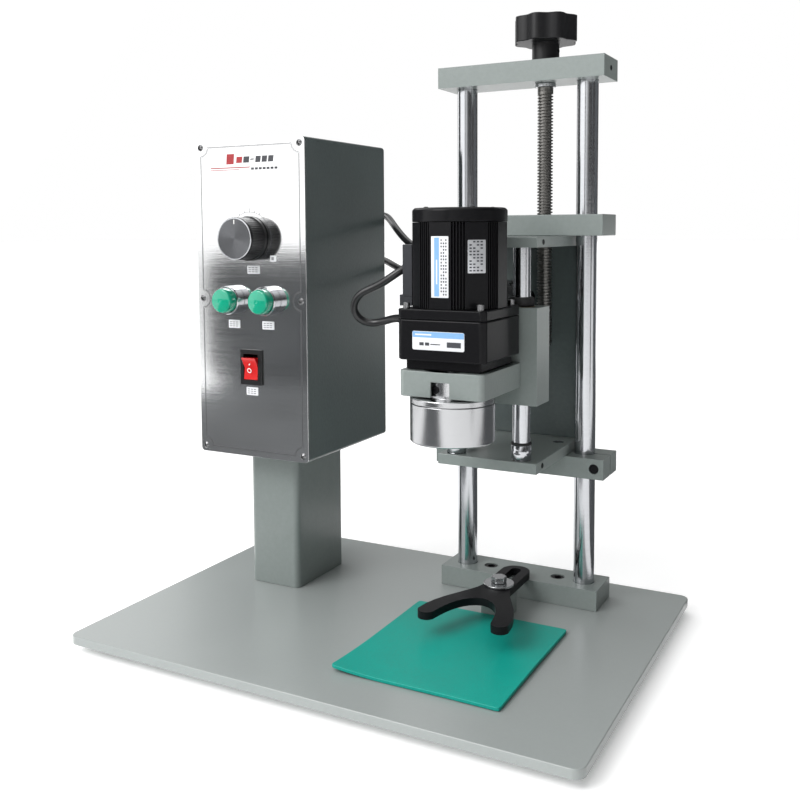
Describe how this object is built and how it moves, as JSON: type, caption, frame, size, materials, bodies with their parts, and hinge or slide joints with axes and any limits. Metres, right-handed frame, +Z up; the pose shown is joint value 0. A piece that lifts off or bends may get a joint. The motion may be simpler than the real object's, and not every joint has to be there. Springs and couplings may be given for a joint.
{
  "type": "capping machine",
  "caption": "Bench-top screw capping machine: control box on a post, twin-rod column, motor-driven chuck, sliding bottle fork and rubber mat.",
  "frame": {"origin": "on the floor under the middle of the base plate, at the underside of the rubber feet", "axes": "+Z up, +X to the right seen from the operator, +Y to the back; the operator stands at -Y"},
  "size_m": [0.48, 0.35, 0.582],
  "materials": {
    "painted_steel": "hammered grey-green enamel, satin",
    "polished_stainless": "polished stainless sheet",
    "ground_rod": "hard-chromed and ground",
    "zinc_steel": "zinc plated, turned",
    "machined_aluminium": "fine turned",
    "bushing_bronze": "sintered bronze",
    "black_enamel": "black enamel, satin",
    "black_plastic": "moulded, satin",
    "black_rubber": "matt rubber",
    "green_rubber": "smooth teal rubber sheet",
    "green_lens": "clear green lens",
    "red_plastic": "gloss",
    "circuit_board": "fibreglass board",
    "grey_capacitor": "moulded case"
  },
  "bodies": {
    "root": {"base_plate": "painted_steel", "rubber_foot_front_left": "black_rubber", "rubber_foot_front_right": "black_rubber", "rubber_foot_back_left": "black_rubber", "rubber_foot_back_right": "black_rubber", "rubber_mat": "green_rubber", "box_post": "painted_steel", "box_shell": "painted_steel", "control_panel": "polished_stainless", "potentiometer": "zinc_steel", "button_body_left": "zinc_steel", "button_body_right": "zinc_steel", "rocker_frame": "black_plastic", "controller_board": "circuit_board", "run_capacitor": "grey_capacitor", "mains_inlet": "black_plastic", "cable_gland_upper": "black_plastic", "cable_gland_lower": "black_plastic", "foot_block": "painted_steel", "guide_rod_left": "ground_rod", "guide_rod_right": "ground_rod", "top_bar": "painted_steel", "fork_post": "painted_steel", "fork_washer": "zinc_steel", "fork_bolt": "zinc_steel", "upper_motor_lead": "black_rubber", "lift_motor_lead": "black_rubber"},
    "height_screw": {"lead_screw": "zinc_steel", "thrust_collar": "zinc_steel", "handwheel": "black_plastic"},
    "carriage": {"middle_bar": "painted_steel", "clamp_bar": "painted_steel", "clamp_bolt": "black_enamel", "lower_shelf": "painted_steel", "upper_shelf": "painted_steel", "slide_rod_left": "ground_rod", "slide_rod_right": "ground_rod", "back_plate": "painted_steel", "lift_motor": "black_enamel", "cable_clip": "black_plastic", "lower_motor_lead": "black_rubber"},
    "pinion": {"lift_pinion": "zinc_steel"},
    "head": {"slider_block": "painted_steel", "slide_bushing_left": "bushing_bronze", "slide_bushing_right": "bushing_bronze", "lift_rack": "zinc_steel", "motor_plate": "painted_steel", "gearbox": "black_enamel", "motor_flange": "black_enamel", "motor_body": "black_enamel", "motor_cap": "black_enamel", "terminal_cover": "black_plastic"},
    "chuck": {"chuck_hub": "machined_aluminium", "chuck_body": "machined_aluminium", "chuck_insert": "black_rubber"},
    "knob": {"speed_knob": "black_plastic"},
    "start_button": {"button_lens_left": "green_lens"},
    "stop_button": {"button_lens_right": "green_lens"},
    "rocker": {"power_rocker": "red_plastic"},
    "fork": {"bottle_fork": "black_enamel"}
  },
  "joints": [
    {"name": "handwheel_turn", "type": "hinge", "parent": "root", "child": "height_screw", "pos_m": [0.108, 0.116, 0.55], "axis": [0, 0, 1], "range_deg": [-10812, 11772]},
    {"name": "carriage_slide", "type": "slide", "parent": "root", "child": "carriage", "axis": [0, 0, 1], "range_m": [-0.098, 0.09], "deforming": ["upper_motor_lead", "lift_motor_lead"]},
    {"name": "head_slide", "type": "slide", "parent": "carriage", "child": "head", "axis": [0, 0, 1], "range_m": [-0.034, 0.014], "deforming": ["lower_motor_lead"]},
    {"name": "pinion_turn", "type": "hinge", "parent": "carriage", "child": "pinion", "pos_m": [0.084, 0.07, 0.312], "axis": [0, 1, 0], "range_deg": [-97.5, 40.2]},
    {"name": "chuck_spin", "type": "hinge", "parent": "head", "child": "chuck", "pos_m": [0.0865, -0.0515, 0.22], "axis": [0, 0, 1], "continuous": true},
    {"name": "knob_turn", "type": "hinge", "parent": "root", "child": "knob", "pos_m": [-0.146, -0.019, 0.373], "axis": [0, -1, 0], "range_deg": [-140, 140]},
    {"name": "start_press", "type": "slide", "parent": "root", "child": "start_button", "axis": [0, 1, 0], "range_m": [0, 0.003], "stiffness_N_per_m": 500, "springref_m": -0.001},
    {"name": "stop_press", "type": "slide", "parent": "root", "child": "stop_button", "axis": [0, 1, 0], "range_m": [0, 0.003], "stiffness_N_per_m": 500, "springref_m": -0.001},
    {"name": "rocker_tilt", "type": "hinge", "parent": "root", "child": "rocker", "pos_m": [-0.146, -0.017, 0.2465], "axis": [-1, 0, 0], "range_deg": [0, 22]},
    {"name": "fork_slide", "type": "slide", "parent": "root", "child": "fork", "axis": [0, -1, 0], "range_m": [0, 0.043]}
  ],
  "couplings": [
    {"joint": "handwheel_turn", "follows": "carriage_slide", "rad_per_m": -2094.4},
    {"joint": "pinion_turn", "follows": "head_slide", "rad_per_m": 50}
  ]
}
